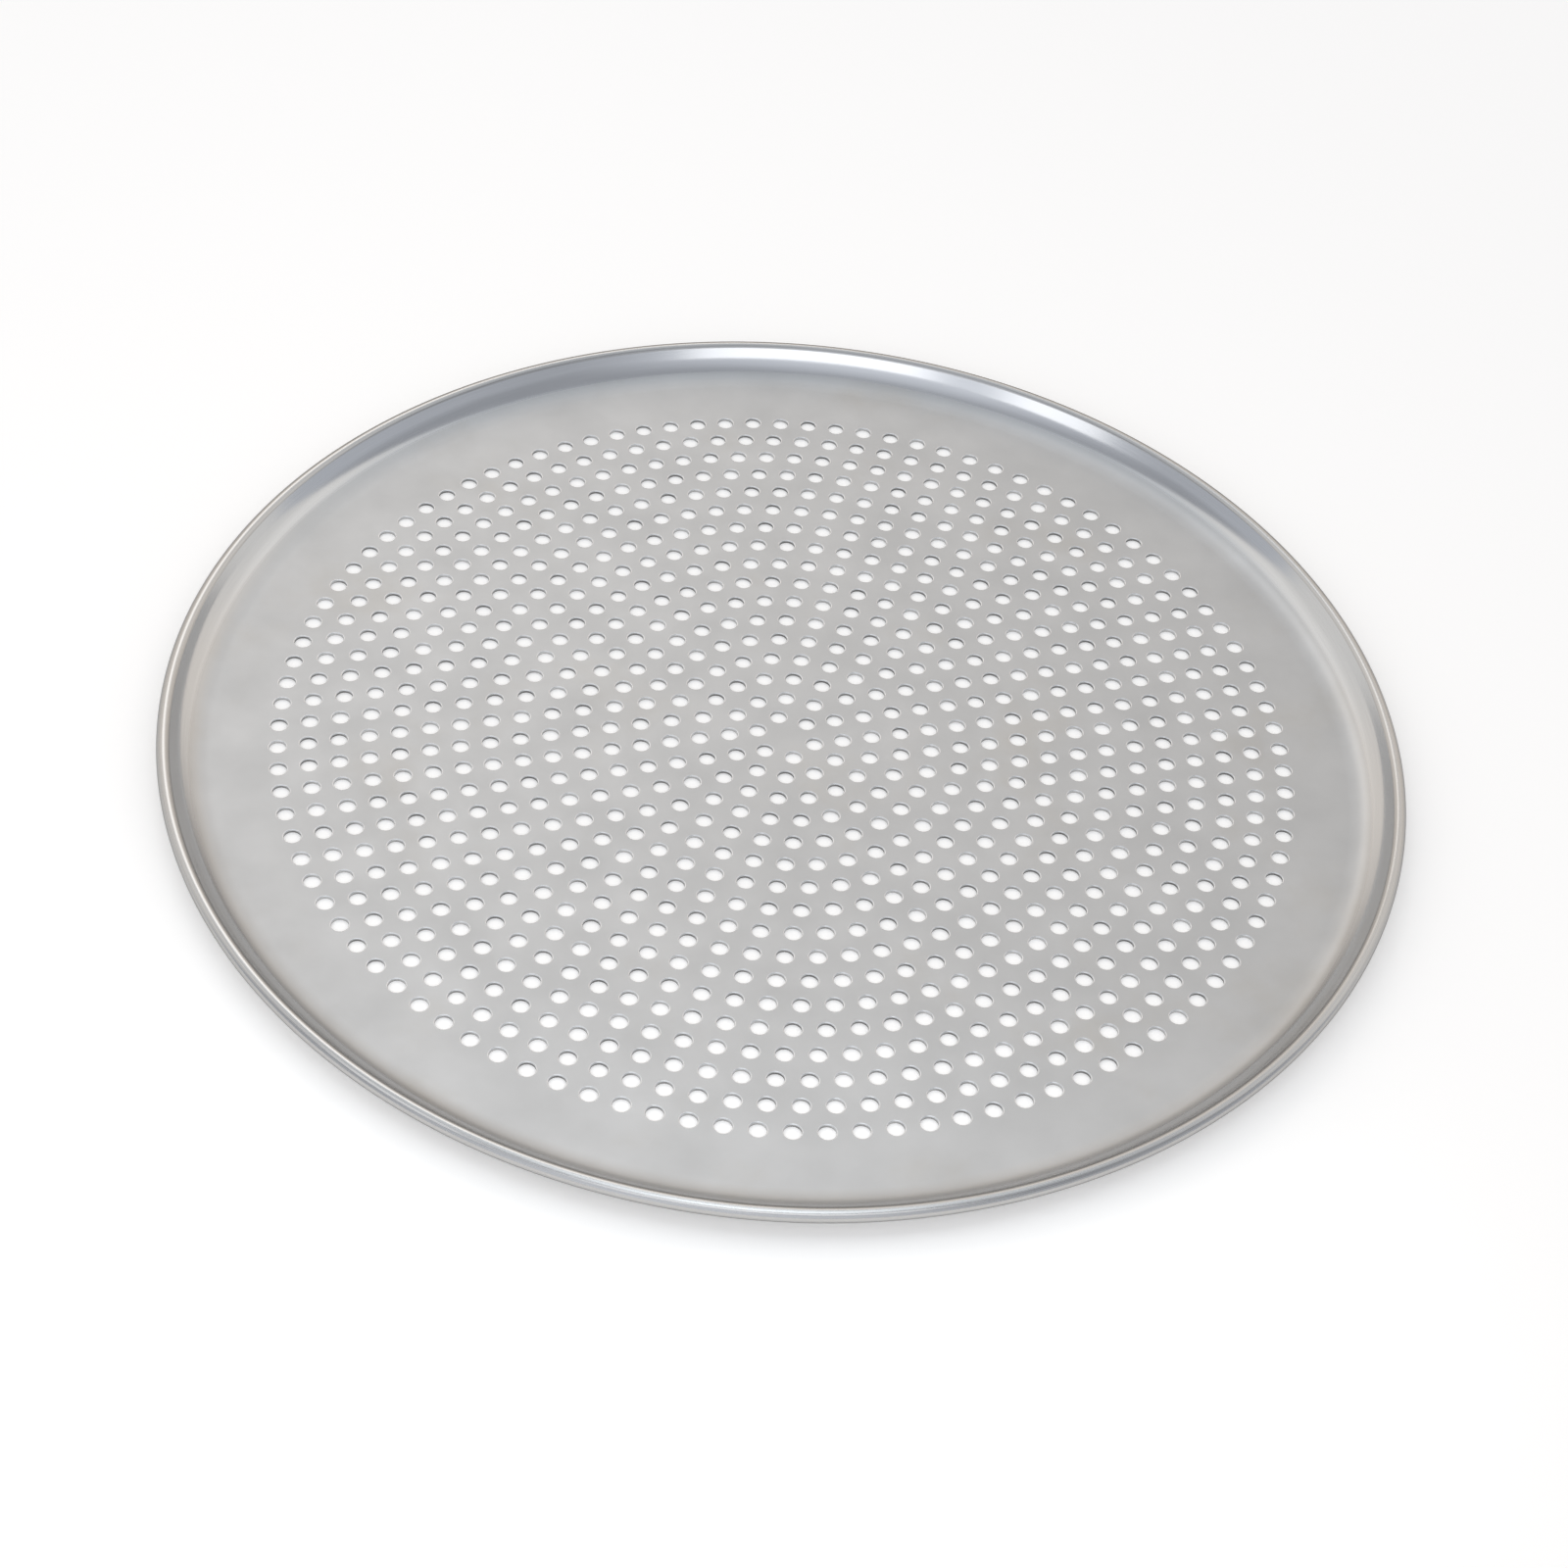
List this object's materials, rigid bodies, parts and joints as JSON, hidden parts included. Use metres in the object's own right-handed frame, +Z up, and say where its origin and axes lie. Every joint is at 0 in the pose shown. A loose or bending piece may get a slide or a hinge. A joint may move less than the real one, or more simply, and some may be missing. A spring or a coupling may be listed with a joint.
{
  "type": "pizza pan",
  "caption": "Round shallow perforated pizza pan: a punched flat floor, a low coved wall and a rim curled outwards over a wire.",
  "frame": {"origin": "centre of the underside, on the surface that the pan stands on", "axes": "+Z up along the pan's axis; +X along a border between two sectors of the hole pattern"},
  "size_m": [0.3555, 0.3556, 0.0095],
  "materials": {
    "pan_aluminium": "satin, bare",
    "wire_steel": "drawn, bare"
  },
  "bodies": {
    "root": {"pan_sheet": "pan_aluminium", "rim_wire": "wire_steel"}
  },
  "joints": []
}
